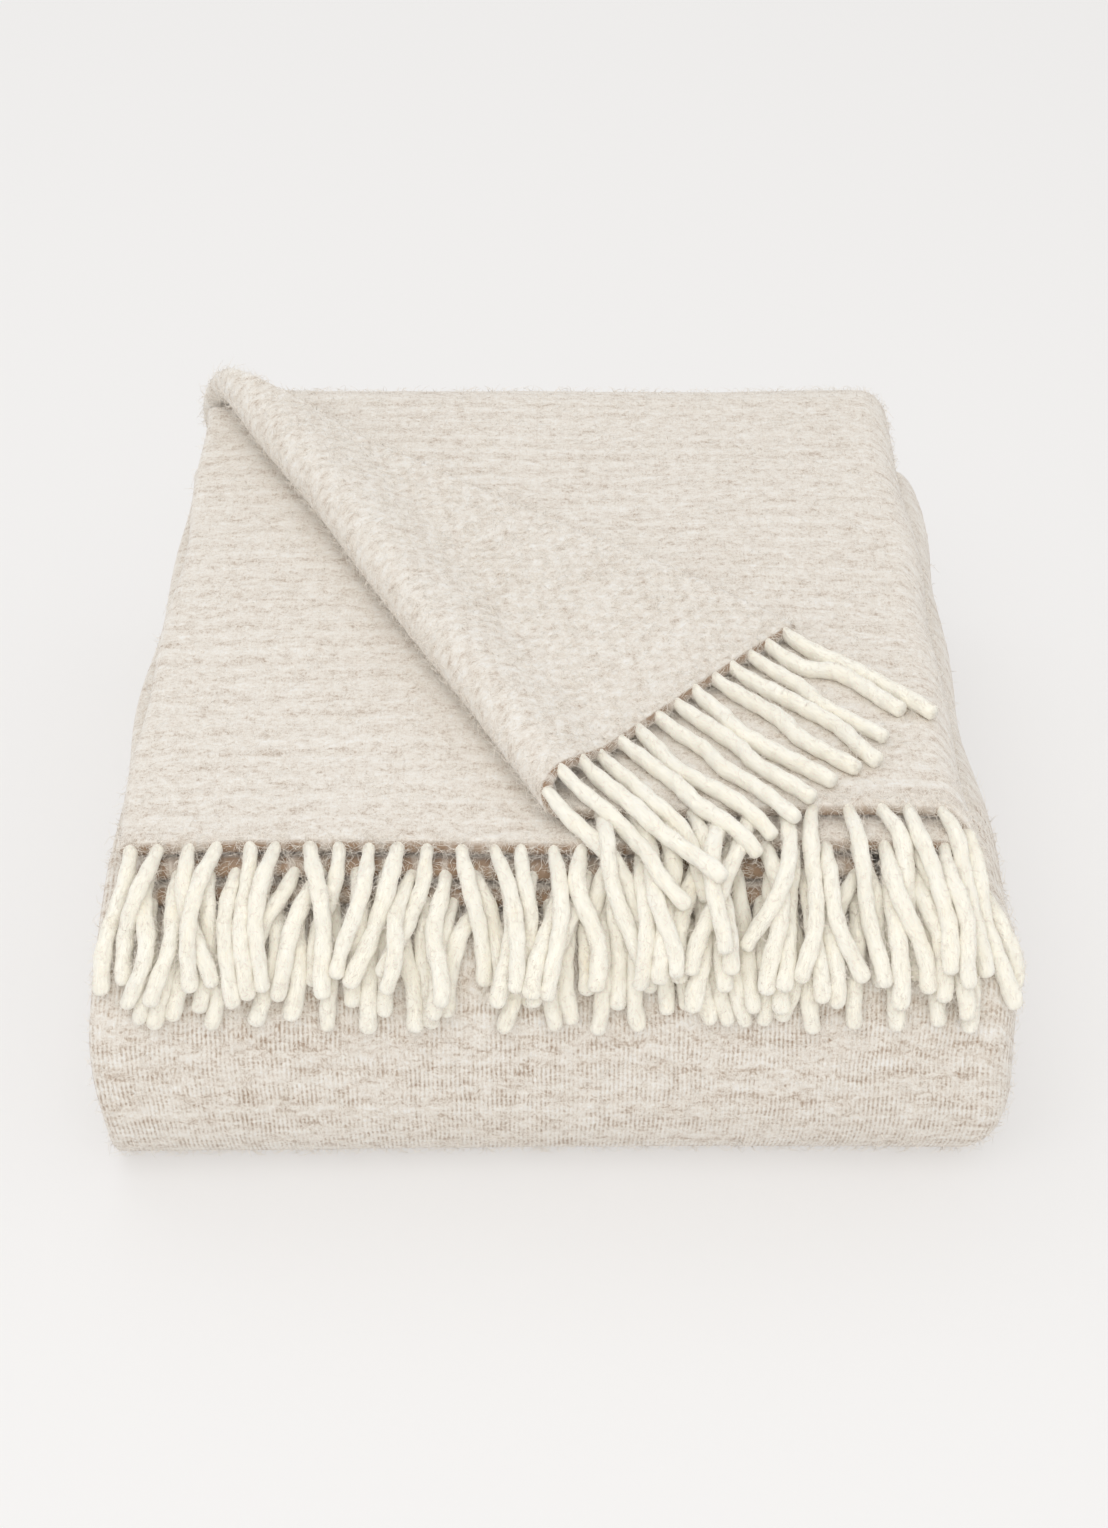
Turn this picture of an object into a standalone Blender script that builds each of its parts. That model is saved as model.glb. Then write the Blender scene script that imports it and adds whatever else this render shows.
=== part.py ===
"""A folded wool throw blanket: 120 x 180 cm of brushed cloth with a twisted fringe at both ends.

The throw is folded in half twice across its width, which makes a bundle of four plies, and the
bundle is then rolled flat into five panels. The fringed end lies on top, and the left corner of
its uppermost ply is turned back over the top. Origin: middle of the footprint, on the surface
that the throw lies on. +X right, +Y back, +Z up, metres.
"""

from math import atan2, cos, pi, sin

import bmesh
import bpy
from mathutils import Matrix, Vector

# Driving dimensions: the cloth, its plies as they lie, and the strands of its fringe.
QUARTER = 1.20 / 4
CLOTH = 0.0056
PLY = 0.0067
BUNDLE = 4 * PLY
GAP = 0.0004
STRANDS = 28
PITCH = QUARTER / STRANDS
STRAND = 0.0044
STRAND_LENGTH = 0.075
HEM = 0.004
CORE_HEM_INSET = 0.006
EDGE_ROUND = 0.0022
CORE_FOLD_SLACK = 0.0030

# Panels of the flat roll: middle height and half width of each, by its place in the stack.
TOP_Z, BASE_Z, UPPER_Z, LOWER_Z, CORE_Z = (
    BUNDLE * (place + 0.5) - GAP / 2 for place in (4, 0, 3, 1, 2)
)
TOP_HALF, UPPER_HALF, CORE_HALF, LOWER_HALF, BASE_HALF = 0.1525, 0.157, 0.159, 0.160, 0.159

# Where the flat panels end and the folds between them begin, and how far each fold reaches.
REAR_Y, REAR_REACH = 0.1580, 0.0344
FRONT_Y, FRONT_REACH = -0.1580, 0.0244
REAR_INNER_Y, REAR_INNER_REACH = 0.1380, 0.0240
FRONT_INNER_Y, FRONT_INNER_REACH = -0.1410, 0.0155
CORE_END_Y = 0.0600
FOLD_SQUARENESS = 2.4
ROUND = 2.0
FOLD_LEAD = 0.003
SIDE_LEAD = 0.0015
HINGE_ANGLE = -11

# The top panel's four plies, uppermost first: the front edge and the height of each.
PLY_FRONT_Y = (-0.148, -0.160, -0.166, -0.172)
PLY_Z = [TOP_Z + (1.5 - k) * PLY for k in range(4)]
SIDE_X = TOP_HALF - 1.5 * PLY - CLOTH / 2 - SIDE_LEAD

# The turned-back corner of the uppermost ply: its crease, its corner and the crease's bend.
CREASE_FRONT = Vector((0.0080, PLY_FRONT_Y[0]))
CREASE_REAR = Vector((-0.1296, REAR_Y - GAP / 2))
SELVEDGE_REAR = Vector((-0.1120, REAR_Y - GAP / 2))
CORNER = Vector((0.0970, PLY_FRONT_Y[0] + 0.1120))
CREASE_RADIUS = 0.0065
CREASE_AXIS_OUT = CREASE_RADIUS * pi / 2

# The flap's strands, and where the first one's root is as a share of their spacing.
FLAP_STRANDS = 14
FLAP_FIRST_ROOT = 0.7
FLAP_STRAND_DROP = 0.008

# How the hanging strands clear the hems below their own and each other.
FIRST_HEM_CLEARANCE = STRAND + 0.0015
LOWER_HEM_CLEARANCE = 2.4 * STRAND + 0.002
HEM_STANDOFF = 0.002
LAYER_STANDOFF = 1.4 * STRAND
FALL = Vector((0.004, 0.002))
LAYER_FALL = Vector((0.007, 0.0))

OATMEAL = (0.78, 0.73, 0.66, 1.0)
CREAM = (0.90, 0.88, 0.80, 1.0)

ACROSS_TO_X = Matrix.Rotation(pi / 2, 4, "X")
ACROSS_TO_Y = Matrix(((0, 0, 1, 0), (1, 0, 0, 0), (0, 1, 0, 0), (0, 0, 0, 1)))


def clear_scene():
    """Remove what the scene holds and start a collection for the throw."""
    for obj in list(bpy.data.objects):
        bpy.data.objects.remove(obj, do_unlink=True)
    collection = bpy.data.collections.new("folded_throw")
    bpy.context.scene.collection.children.link(collection)
    return collection


def wool(name, colour):
    """A plain matt wool material."""
    material = bpy.data.materials.new(name)
    material.use_nodes = True
    shader = material.node_tree.nodes["Principled BSDF"]
    shader.inputs["Base Color"].default_value = colour
    shader.inputs["Roughness"].default_value = 0.95
    shader.inputs["Metallic"].default_value = 0.0
    return material


def add_part(name, data, colour, parent=None, matrix=None):
    """Put a mesh or curve into the throw as one named part with its own material."""
    obj = bpy.data.objects.new(name, data)
    PARTS.objects.link(obj)
    data.materials.append(wool(name + "_wool", colour))
    if parent is not None:
        obj.parent = parent
        obj.matrix_parent_inverse = parent.matrix_world.inverted()
    obj.matrix_world = matrix if matrix is not None else Matrix.Identity(4)
    return obj


def pivot(name, point, parent=None):
    """An empty on a joint's axis, which the parts that turn with it are parented to."""
    empty = bpy.data.objects.new(name, None)
    empty.empty_display_size = 0.02
    PARTS.objects.link(empty)
    empty.parent = parent
    empty.location = Vector(point) - (parent.location if parent else Vector())
    bpy.context.view_layer.update()
    return empty


def slab(name, low, high, parent=None):
    """A flat length of cloth: a box with rounded edges between two corners."""
    shape = bmesh.new()
    bmesh.ops.create_cube(shape, size=1.0)
    bmesh.ops.scale(shape, vec=Vector(high) - Vector(low), verts=shape.verts)
    mesh = bpy.data.meshes.new(name)
    shape.to_mesh(mesh)
    shape.free()
    middle = Matrix.Translation((Vector(low) + Vector(high)) / 2)
    obj = add_part(name, mesh, OATMEAL, parent, middle)
    edges = obj.modifiers.new("rounded_edges", "BEVEL")
    edges.width = EDGE_ROUND
    edges.segments = 2
    return obj


def outline(name, points, cyclic):
    """A 2D curve through the given points."""
    curve = bpy.data.curves.new(name, "CURVE")
    curve.dimensions = "2D"
    spline = curve.splines.new("POLY")
    spline.points.add(len(points) - 1)
    for point, (across, up) in zip(spline.points, points):
        point.co = (across, up, 0.0, 1.0)
    spline.use_cyclic_u = cyclic
    return curve


def ribbon(name, points, thickness, width, matrix, parent=None):
    """A folded length of cloth: a line drawn out to its width and then given its thickness."""
    curve = outline(name, points, False)
    curve.fill_mode = "NONE"
    curve.extrude = width / 2
    obj = add_part(name, curve, OATMEAL, parent, matrix)
    shell = obj.modifiers.new("cloth_thickness", "SOLIDIFY")
    shell.thickness = thickness
    shell.offset = 0.0
    shell.use_even_offset = True
    return obj


def fold_line(start_y, reach, low_z, high_z, first=-90, last=90, steps=14, shape=FOLD_SQUARENESS):
    """The middle of a fold as (y, z) points, from its lower to its upper end.

    It is a squarish arc, with a short level lead where it meets a flat panel.
    """
    middle, half = (low_z + high_z) / 2, (high_z - low_z) / 2
    lead = FOLD_LEAD if reach > 0 else -FOLD_LEAD
    points = [Vector((start_y, low_z))] if first == -90 else []
    for k in range(steps + 1):
        angle = (first + (last - first) * k / steps) * pi / 180
        out = max(cos(angle), 0.0) ** (2 / shape)
        up = abs(sin(angle)) ** (2 / shape) * (1 if angle > 0 else -1)
        points.append(Vector((start_y + lead + (reach - lead) * out, middle + half * up)))
    return points + ([Vector((start_y, high_z))] if last == 90 else [])


def side_line(x, side, radius, middle_z):
    """A half circle as (x, z) points, from bottom to top, with a short level lead at each end."""
    angles = [(-90 + 22.5 * k) * pi / 180 for k in range(9)]
    start = x + side * SIDE_LEAD
    arc = [(start + side * radius * cos(a), middle_z + radius * sin(a)) for a in angles]
    return [(x, middle_z - radius), *arc, (x, middle_z + radius)]


def offset_line(points, distance):
    """A rising line of points moved to the right of its direction."""
    moved = []
    for k, point in enumerate(points):
        along = points[min(k + 1, len(points) - 1)] - points[max(k - 1, 0)]
        along.normalize()
        moved.append(point + Vector((along.y, -along.x)) * distance)
    return moved


def resample(points, length, pieces):
    """The first length of a line of points, cut into equal pieces."""
    cut, walked, target = [points[0]], 0.0, length / pieces
    for a, b in zip(points, points[1:]):
        step = (b - a).length
        while len(cut) <= pieces and walked + step >= target - 1e-9:
            cut.append(a + (b - a) * ((target - walked) / step))
            target += length / pieces
        walked += step
    return cut


def hem_middle(row):
    """The middle of the hem in front of a ply of the top panel, as (y, z)."""
    return Vector((PLY_FRONT_Y[row] - GAP - HEM / 2, PLY_Z[row]))


def drape(row):
    """A hanging strand as (y, z) points: over the hems below its own and down the front fold.

    Rows 2 and 3 lie on the fold side by side, and rows 0 and 1 lie on them in the same way.
    """
    layer = 1 if row < 2 else 0
    standoff = BUNDLE / 2 + GAP + STRAND / 2 + layer * LAYER_STANDOFF
    over = [hem_middle(row)]
    for below in range(row + 1, 4):
        clear = FIRST_HEM_CLEARANCE if below == row + 1 else LOWER_HEM_CLEARANCE
        over.append(hem_middle(below) + Vector((-HEM / 2 - HEM_STANDOFF, clear)))
    face = offset_line(fold_line(FRONT_Y, -FRONT_REACH, BASE_Z, UPPER_Z, steps=48), -standoff)
    last = over[-1] - FALL - layer * LAYER_FALL
    down = [p for p in reversed(face) if p.x < last.x and p.y < last.y]
    down += [down[-1] - Vector((0.0, STRAND_LENGTH))]
    return resample(over + down, STRAND_LENGTH, 9)


def comb(name, line, first_column, half_width, parent=None):
    """A row of strands on a narrow hem, in which every second strip of the hem is drawn out."""
    side = 1 if line[1].x > line[0].x else -1
    shape = bmesh.new()
    bmesh.ops.create_cube(shape, size=1.0)
    bmesh.ops.scale(shape, vec=(2 * half_width, HEM, STRAND), verts=shape.verts)
    bmesh.ops.translate(shape, vec=(0.0, line[0].x, line[0].y), verts=shape.verts)
    lengthwise = [e for e in shape.edges if abs(e.verts[0].co.x - e.verts[1].co.x) > half_width]
    bmesh.ops.subdivide_edges(shape, edges=lengthwise, cuts=2 * STRANDS - 1, use_grid_fill=True)
    shape.normal_update()
    strips = [f for f in shape.faces if f.normal.y * side > 0.9]
    strips.sort(key=lambda face: face.calc_center_median().x)
    ends, above = strips[first_column::2], Vector((0.0, 1.0))
    for number, (a, b) in enumerate(zip(line, line[1:])):
        ends = bmesh.ops.extrude_discrete_faces(shape, faces=ends)["faces"]
        along = (b - a).normalized()
        upward = Vector((-along.y, along.x)) * side
        for face in ends:
            middle_x = face.calc_center_median().x
            for vert in face.verts:
                half = STRAND / 2 if (Vector(vert.co.yz) - a).dot(above) > 0 else -STRAND / 2
                place = b + upward * half
                narrow = STRAND * STRANDS / half_width if number == 0 else 1.0
                vert.co = (middle_x + (vert.co.x - middle_x) * narrow, place.x, place.y)
        above = upward
    mesh = bpy.data.meshes.new(name)
    shape.to_mesh(mesh)
    shape.free()
    return add_part(name, mesh, CREAM, parent)


def strand(name, points, parent):
    """One twisted strand, as a tube along its own line of points."""
    curve = bpy.data.curves.new(name, "CURVE")
    curve.dimensions = "3D"
    curve.bevel_depth = STRAND / 2
    curve.bevel_resolution = 1
    curve.use_fill_caps = True
    spline = curve.splines.new("POLY")
    spline.points.add(len(points) - 1)
    for point, place in zip(spline.points, points):
        point.co = (*place, 1.0)
    return add_part(name, curve, CREAM, parent)


def build_roll():
    """The panels and folds below the top panel, from the outside of the roll to its core."""
    half = BUNDLE / 2 - GAP / 2
    panels = (
        ("base_panel", BASE_Z, BASE_HALF, FRONT_Y, REAR_Y),
        ("upper_panel", UPPER_Z, UPPER_HALF, FRONT_Y, REAR_INNER_Y),
        ("lower_panel", LOWER_Z, LOWER_HALF, FRONT_INNER_Y, REAR_INNER_Y),
        ("core_panel", CORE_Z, CORE_HALF, FRONT_INNER_Y, CORE_END_Y),
    )
    for name, middle_z, half_width, front, rear in panels:
        low = (-half_width, front + GAP / 2, middle_z - half)
        slab(name, low, (half_width, rear - GAP / 2, middle_z + half))
    folds = (
        ("front_outer_fold", FRONT_Y, -FRONT_REACH, BASE_Z, UPPER_Z, BASE_HALF),
        ("rear_inner_fold", REAR_INNER_Y, REAR_INNER_REACH, LOWER_Z, UPPER_Z, UPPER_HALF),
        ("front_inner_fold", FRONT_INNER_Y, -FRONT_INNER_REACH, LOWER_Z, CORE_Z, LOWER_HALF),
    )
    for name, start_y, reach, low_z, high_z, half_width in folds:
        start = start_y + (GAP if reach > 0 else -GAP) / 2
        tight = high_z - low_z < BUNDLE + GAP
        thickness = 2 * half - (CORE_FOLD_SLACK if tight else 0.0)
        line = fold_line(start, reach, low_z, high_z, shape=ROUND if tight else FOLD_SQUARENESS)
        ribbon(name, line, thickness, 2 * half_width, ACROSS_TO_Y)
    line = fold_line(REAR_Y + GAP / 2, REAR_REACH, BASE_Z, TOP_Z, last=HINGE_ANGLE - 1, steps=9)
    ribbon("rear_fold_lower", line, 2 * half, 2 * BASE_HALF, ACROSS_TO_Y)
    for row in range(4):
        start = Vector((CORE_END_Y + GAP + HEM / 2, CORE_Z + (1.5 - row) * PLY))
        line = [start, start + Vector((STRAND_LENGTH, 0.0))]
        comb(f"inner_fringe_{row + 1}", line, row % 2, CORE_HALF - CORE_HEM_INSET)


def build_top_panel(turn):
    """The four plies of the top panel, the folds at its sides and rear, and its hanging fringe."""
    line = fold_line(REAR_Y + GAP / 2, REAR_REACH, BASE_Z, TOP_Z, first=HINGE_ANGLE + 1, steps=11)
    ribbon("rear_fold_upper", line, BUNDLE - GAP, 2 * TOP_HALF, ACROSS_TO_Y, turn)
    rear = REAR_Y - GAP / 2
    left = {1: -TOP_HALF, 2: -SIDE_X, 3: -SIDE_X}
    for row, name in ((1, "second_leaf"), (2, "third_leaf"), (3, "fourth_leaf")):
        low = (left[row], PLY_FRONT_Y[row], PLY_Z[row] - CLOTH / 2)
        slab(name, low, (SIDE_X, rear, PLY_Z[row] + CLOTH / 2), turn)
    corners = [CREASE_FRONT, Vector((SIDE_X, PLY_FRONT_Y[0])), Vector((SIDE_X, rear)), CREASE_REAR]
    leaf = outline("top_leaf", corners, True)
    leaf.fill_mode = "BOTH"
    leaf.extrude = CLOTH / 2
    add_part("top_leaf", leaf, OATMEAL, turn, Matrix.Translation((0.0, 0.0, PLY_Z[0])))

    sides = (("right_outer_fold", 1, 0, 3), ("right_inner_fold", 1, 1, 2), ("left_fold", -1, 2, 3))
    for name, side, upper, lower in sides:
        front = PLY_FRONT_Y[upper]
        place = Matrix.Translation((0.0, (front + rear) / 2, 0.0)) @ ACROSS_TO_X
        radius, middle_z = (lower - upper) * PLY / 2, (PLY_Z[upper] + PLY_Z[lower]) / 2
        line = side_line(side * (SIDE_X + GAP), side, radius, middle_z)
        ribbon(name, line, CLOTH, rear - front, place, turn)

    for row, name in ((1, "second_leaf_fringe"), (2, "third_leaf_fringe"), (3, "fourth_leaf_fringe")):
        comb(name, drape(row), (row + 1) % 2, QUARTER / 2, turn)
    line = drape(0)
    columns = range(int((CREASE_FRONT.x + QUARTER / 2) / PITCH) + 1, STRANDS)
    for number, column in enumerate(columns, start=1):
        x = -QUARTER / 2 + (column + 3 / 4) * PITCH
        strand(f"top_leaf_strand_{number:02d}", [(x, p.x, p.y) for p in line], turn)


def crease_frame():
    """Level directions along the crease, towards the rear, and from it over the flap."""
    along = (CREASE_REAR - CREASE_FRONT).normalized()
    return along, Vector((along.y, -along.x))


def build_corner_flap(turn):
    """The turned-back corner, the bend along its crease and the strands of its own fringe."""
    along, inward = crease_frame()
    bend_z = PLY_Z[0] + CREASE_RADIUS
    middle = (CREASE_FRONT + CREASE_REAR) / 2 - inward * GAP
    place = Matrix((
        (-inward.x, 0, along.x, middle.x),
        (-inward.y, 0, along.y, middle.y),
        (0, 1, 0, 0),
        (0, 0, 0, 1),
    ))
    line = side_line(0.0, 1, CREASE_RADIUS, bend_z)
    ribbon("flap_crease", line, CLOTH, (CREASE_REAR - CREASE_FRONT).length, place, turn)

    def on_flap(point):
        """Distances of a point from the crease and along it."""
        return (point - CREASE_FRONT).dot(inward), (point - CREASE_FRONT).dot(along)

    reach = on_flap(CORNER)[0]
    flap_z, resting_z = bend_z + CREASE_RADIUS, PLY_Z[0] + CLOTH + GAP
    slope = (flap_z - resting_z) / reach
    down = atan2(flap_z - resting_z, reach)
    tilted = Matrix((
        (inward.x * cos(down), along.x, inward.x * sin(down), CREASE_FRONT.x),
        (inward.y * cos(down), along.y, inward.y * sin(down), CREASE_FRONT.y),
        (-sin(down), 0, cos(down), flap_z),
        (0, 0, 0, 1),
    ))
    shift = Vector((GAP, 0.0))
    corners = [Vector(on_flap(p)) + shift for p in (CREASE_FRONT, CORNER, SELVEDGE_REAR, CREASE_REAR)]
    flap = outline("corner_flap", corners, True)
    flap.fill_mode = "BOTH"
    flap.extrude = CLOTH / 2
    add_part("corner_flap", flap, OATMEAL, turn, tilted)

    edge = CORNER - CREASE_FRONT
    out = Vector((edge.y, -edge.x)).normalized()
    for number in range(1, FLAP_STRANDS + 1):
        place = (number - 1 + FLAP_FIRST_ROOT) / FLAP_STRANDS
        root = CREASE_FRONT + edge * place + out * 3 * GAP
        tip = root + out * STRAND_LENGTH
        root_z = flap_z - slope * on_flap(root)[0]
        tip_z = max(root_z - FLAP_STRAND_DROP, PLY_Z[0] + CLOTH / 2 + STRAND / 2 + 2 * GAP)
        points = [(*root, root_z), (*root.lerp(tip, 0.5), (root_z + tip_z) / 2), (*tip, tip_z)]
        strand(f"flap_strand_{number:02d}", points, turn)


PARTS = clear_scene()
HINGE_LINE = fold_line(REAR_Y, REAR_REACH + BUNDLE / 2, BASE_Z, TOP_Z, first=HINGE_ANGLE, steps=1)[0]
TOP_TURN = pivot("top_panel_turn", (0.0, *HINGE_LINE))
FLAP_AXIS = CREASE_FRONT - crease_frame()[1] * CREASE_AXIS_OUT
FLAP_TURN = pivot("corner_flap_turn", (*FLAP_AXIS, PLY_Z[0] + CREASE_RADIUS), TOP_TURN)
build_roll()
build_top_panel(TOP_TURN)
build_corner_flap(FLAP_TURN)
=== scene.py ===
"""The looks of a folded wool throw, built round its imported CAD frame.

Every ply, bend and fold is a length of one web of cloth. A place on the web has three values: x is
its place across the roll, s its distance along the roll, counted on the outermost ply from that
ply's front edge, and h its height in the bundle of four plies. place() turns them into a point.
Metres, +X right, +Y back, +Z up.
"""

from math import cos, pi, radians, sin

import bpy
import numpy as np
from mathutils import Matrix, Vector


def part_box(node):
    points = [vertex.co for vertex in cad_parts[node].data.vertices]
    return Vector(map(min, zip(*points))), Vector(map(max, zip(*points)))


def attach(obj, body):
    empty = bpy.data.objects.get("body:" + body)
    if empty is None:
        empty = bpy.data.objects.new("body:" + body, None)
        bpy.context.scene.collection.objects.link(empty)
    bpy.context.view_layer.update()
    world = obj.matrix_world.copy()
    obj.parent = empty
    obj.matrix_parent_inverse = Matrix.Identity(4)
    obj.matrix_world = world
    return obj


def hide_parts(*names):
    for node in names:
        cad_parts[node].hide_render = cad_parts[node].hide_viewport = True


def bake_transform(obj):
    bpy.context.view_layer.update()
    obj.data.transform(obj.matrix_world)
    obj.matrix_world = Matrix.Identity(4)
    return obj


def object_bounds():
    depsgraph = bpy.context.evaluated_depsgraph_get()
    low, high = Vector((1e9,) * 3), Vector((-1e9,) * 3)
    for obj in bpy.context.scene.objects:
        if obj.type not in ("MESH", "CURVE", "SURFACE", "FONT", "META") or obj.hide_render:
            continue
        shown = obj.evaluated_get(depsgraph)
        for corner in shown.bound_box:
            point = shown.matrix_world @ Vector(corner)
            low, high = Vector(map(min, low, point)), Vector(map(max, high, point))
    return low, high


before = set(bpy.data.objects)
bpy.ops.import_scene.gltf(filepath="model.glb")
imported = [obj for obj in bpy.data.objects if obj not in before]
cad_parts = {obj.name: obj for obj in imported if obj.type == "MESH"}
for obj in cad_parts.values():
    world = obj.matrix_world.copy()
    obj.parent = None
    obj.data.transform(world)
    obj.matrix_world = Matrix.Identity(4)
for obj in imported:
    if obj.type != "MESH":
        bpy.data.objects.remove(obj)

CAD_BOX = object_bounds()
RANDOM = np.random.default_rng(7)


def middle(node, axis):
    """The middle of a CAD node's box along one axis."""
    low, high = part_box(node)
    return (low[axis] + high[axis]) / 2


# The plies of the top panel, uppermost first, and the cloth they are made of.
LEAVES = ("top_leaf", "second_leaf", "third_leaf", "fourth_leaf")
LEAF_Z = [middle(leaf, 2) for leaf in LEAVES]
LEAF_FRONT = [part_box(leaf)[0].y for leaf in LEAVES]
PLY = (LEAF_Z[0] - LEAF_Z[3]) / 3
CLOTH = 0.0062
RIM = CLOTH / 2
BUNDLE = 4 * PLY
RIB, RIB_PITCH, LUMP = 0.00008, 0.0083, 0.00010
HEIGHTS = [(1.5 - row) * PLY for row in range(4)]
STAGGER = [front - LEAF_FRONT[0] for front in LEAF_FRONT]

# The panels and folds of the roll.
TOP_Z = sum(LEAF_Z) / 4
BASE_Z, LOWER_Z, CORE_Z, UPPER_Z = (
    middle(panel, 2) for panel in ("base_panel", "lower_panel", "core_panel", "upper_panel")
)
REAR_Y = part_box("base_panel")[1].y
FRONT_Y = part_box("base_panel")[0].y
REAR_INNER_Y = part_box("upper_panel")[1].y
FRONT_INNER_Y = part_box("lower_panel")[0].y
CORE_END_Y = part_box("core_panel")[1].y
REAR_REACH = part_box("rear_fold_lower")[1].y - REAR_Y - BUNDLE / 2
FRONT_REACH = FRONT_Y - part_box("front_outer_fold")[0].y - BUNDLE / 2
REAR_INNER_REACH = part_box("rear_inner_fold")[1].y - REAR_INNER_Y - BUNDLE / 2
FRONT_INNER_REACH = 0.0120
FOLD_LEAD = 0.003
FOLD_SHAPE = 2.35
CORE_SPREAD = 0.85
TOP_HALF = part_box("right_outer_fold")[1].x
TOP_SHOWN = 0.972 * TOP_HALF
BASE_HALF, UPPER_HALF, LOWER_HALF = (TOP_HALF + wider for wider in (0.003, 0.0045, 0.0065))
LEAN = 0.35
SIDE_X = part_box("top_leaf")[1].x
SIDE_LEAD = 0.0015
AHEAD = 0.2
FINE, COARSE = 0.0024, 0.004

# The turned-back corner: its crease runs straight over the web, and the cloth rolls round it.
CREASE_X = 0.0080
CREASE_ALONG = np.array((-0.4103, 0.9120))
CREASE_IN = np.array((CREASE_ALONG[1], -CREASE_ALONG[0]))
CREASE_RADIUS = (0.0062, 0.0080)
CREASE_RELAX = (0.026, 0.034)
CREASE_SPAN = 0.40
APEX_CUT = 0.004
FLAP_REST = CLOTH + 0.0008
APEX_S = (CREASE_X + TOP_HALF) * CREASE_ALONG[1] / -CREASE_ALONG[0]

# The fringe: lengths by row, uppermost ply first and the turned corner last. The lower rows are
# shorter than the real strands, so that their tips end where the photograph shows them.
STRAND = 0.0056
STRANDS = 28
FLUFF = 1.07
EMBED = 0.004
LINKS = 20
ROW_LENGTHS = (0.069, 0.058, 0.053, 0.049, 0.081)
INNER_LENGTH = 0.075
FALL = 0.00014
DRIFT_BACK = 0.00003
KEEP_SPEED = 0.90
TOP_SPEED = 0.0016
STIFFNESS = 0.35
KEEP_SIDEWAYS = 0.15
RUB = 0.4
STRAIGHT_LINKS = 1.95
PAIR_SHARE, PAIR_STEP = 0.4, 0.0006
FLOOR_STEP = 0.0012
ROUND_END = 0.012
FALL_STEPS, QUICK_STEPS = 260, 6
SIDE_SPREAD = TOP_HALF + 0.006
FIBRE = 0.00011
CLOTH_NAP, STRAND_NAP, FIBRES_PER_STRAND = 0.0040, 0.0024, 420
HEM = 0.0055


# ---------------------------------------------------------------- the roll as stations along s

def roll_stations():
    """The roll's middle line with the way each station opens out to the plies, and its marks."""
    rows, marks = [], {}

    def panel(name, y_from, y_to, z, up, half_from, half_to, steps=30):
        marks[name] = len(rows)
        for f in np.linspace(0, 1, steps)[1 if rows else 0:]:
            half = half_from + (half_to - half_from) * f
            rows.append((y_from + (y_to - y_from) * f, z, 0.0, up, half, half - TOP_SHOWN))

    def fold(name, start, side, reach, ends, spread, half_from, half_to, bulge=0.0, steps=90):
        marks[name] = len(rows)
        z_from, z_to = ends
        middle_z, half_rise = (z_from + z_to) / 2, abs(z_to - z_from) / 2
        falling = z_to < z_from
        for f in np.linspace(0, 1, steps)[1:]:
            angle = (f - 0.5) * pi * (-1 if falling else 1)
            out = max(cos(angle), 0.0) ** (2 / FOLD_SHAPE)
            up = abs(sin(angle)) ** (2 / FOLD_SHAPE) * (1 if angle > 0 else -1)
            y = start + side * (FOLD_LEAD + (reach - FOLD_LEAD) * out)
            half = half_from + (half_to - half_from) * f + bulge * sin(pi * f)
            z = middle_z + half_rise * up
            rows.append((y, z, side * spread * out, up, half, half - TOP_SHOWN))

    top, base, upper, lower = TOP_SHOWN, BASE_HALF, UPPER_HALF, LOWER_HALF
    panel("ahead", LEAF_FRONT[0] - AHEAD, LEAF_FRONT[0], TOP_Z, 1, top, top, 3)
    panel("top", LEAF_FRONT[0], REAR_Y, TOP_Z, 1, top, top)
    fold("rear", REAR_Y, 1, REAR_REACH, (TOP_Z, BASE_Z), 1, top, base, bulge=0.002)
    panel("base", REAR_Y, FRONT_Y, BASE_Z, -1, base, base)
    fold("front", FRONT_Y, -1, FRONT_REACH, (BASE_Z, UPPER_Z), 1, base, upper, bulge=0.003)
    panel("upper", FRONT_Y, REAR_INNER_Y, UPPER_Z, 1, upper, upper)
    fold("rear_inner", REAR_INNER_Y, 1, REAR_INNER_REACH, (UPPER_Z, LOWER_Z), 1, upper, lower)
    panel("lower", REAR_INNER_Y, FRONT_INNER_Y, LOWER_Z, -1, lower, lower)
    fold("front_inner", FRONT_INNER_Y, -1, FRONT_INNER_REACH, (LOWER_Z, CORE_Z), CORE_SPREAD,
         lower, lower)
    panel("core", FRONT_INNER_Y, CORE_END_Y, CORE_Z, 1, lower, lower)
    table = np.array(rows)
    outer = table[:, :2] + table[:, 2:4] * HEIGHTS[0]
    s = np.concatenate(([0.0], np.cumsum(np.linalg.norm(np.diff(outer, axis=0), axis=1))))
    s -= s[marks["top"] - 1]
    starts = {name: s[index - 1] if index else s[0] for name, index in marks.items()}
    starts["end"] = s[-1]
    return s, table, starts


STATION_S, STATIONS, START = roll_stations()


def place(x, s, h):
    """Points of the web, for arrays of x, s and h of one shape."""
    x, s, h = np.broadcast_arrays(x, s, h)
    y, z, y_out, z_out, half, extra = (np.interp(s, STATION_S, STATIONS[:, k]) for k in range(6))
    return np.stack((x * half / TOP_HALF + LEAN * extra, y + y_out * h, z + z_out * h), axis=-1)


def front_edge(h):
    """Where the front edge of the top panel is, for heights between the plies' own."""
    return np.interp(h, HEIGHTS[::-1], STAGGER[::-1])


def smooth(t):
    t = np.clip(t, 0.0, 1.0)
    return t * t * (3 - 2 * t)


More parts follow.
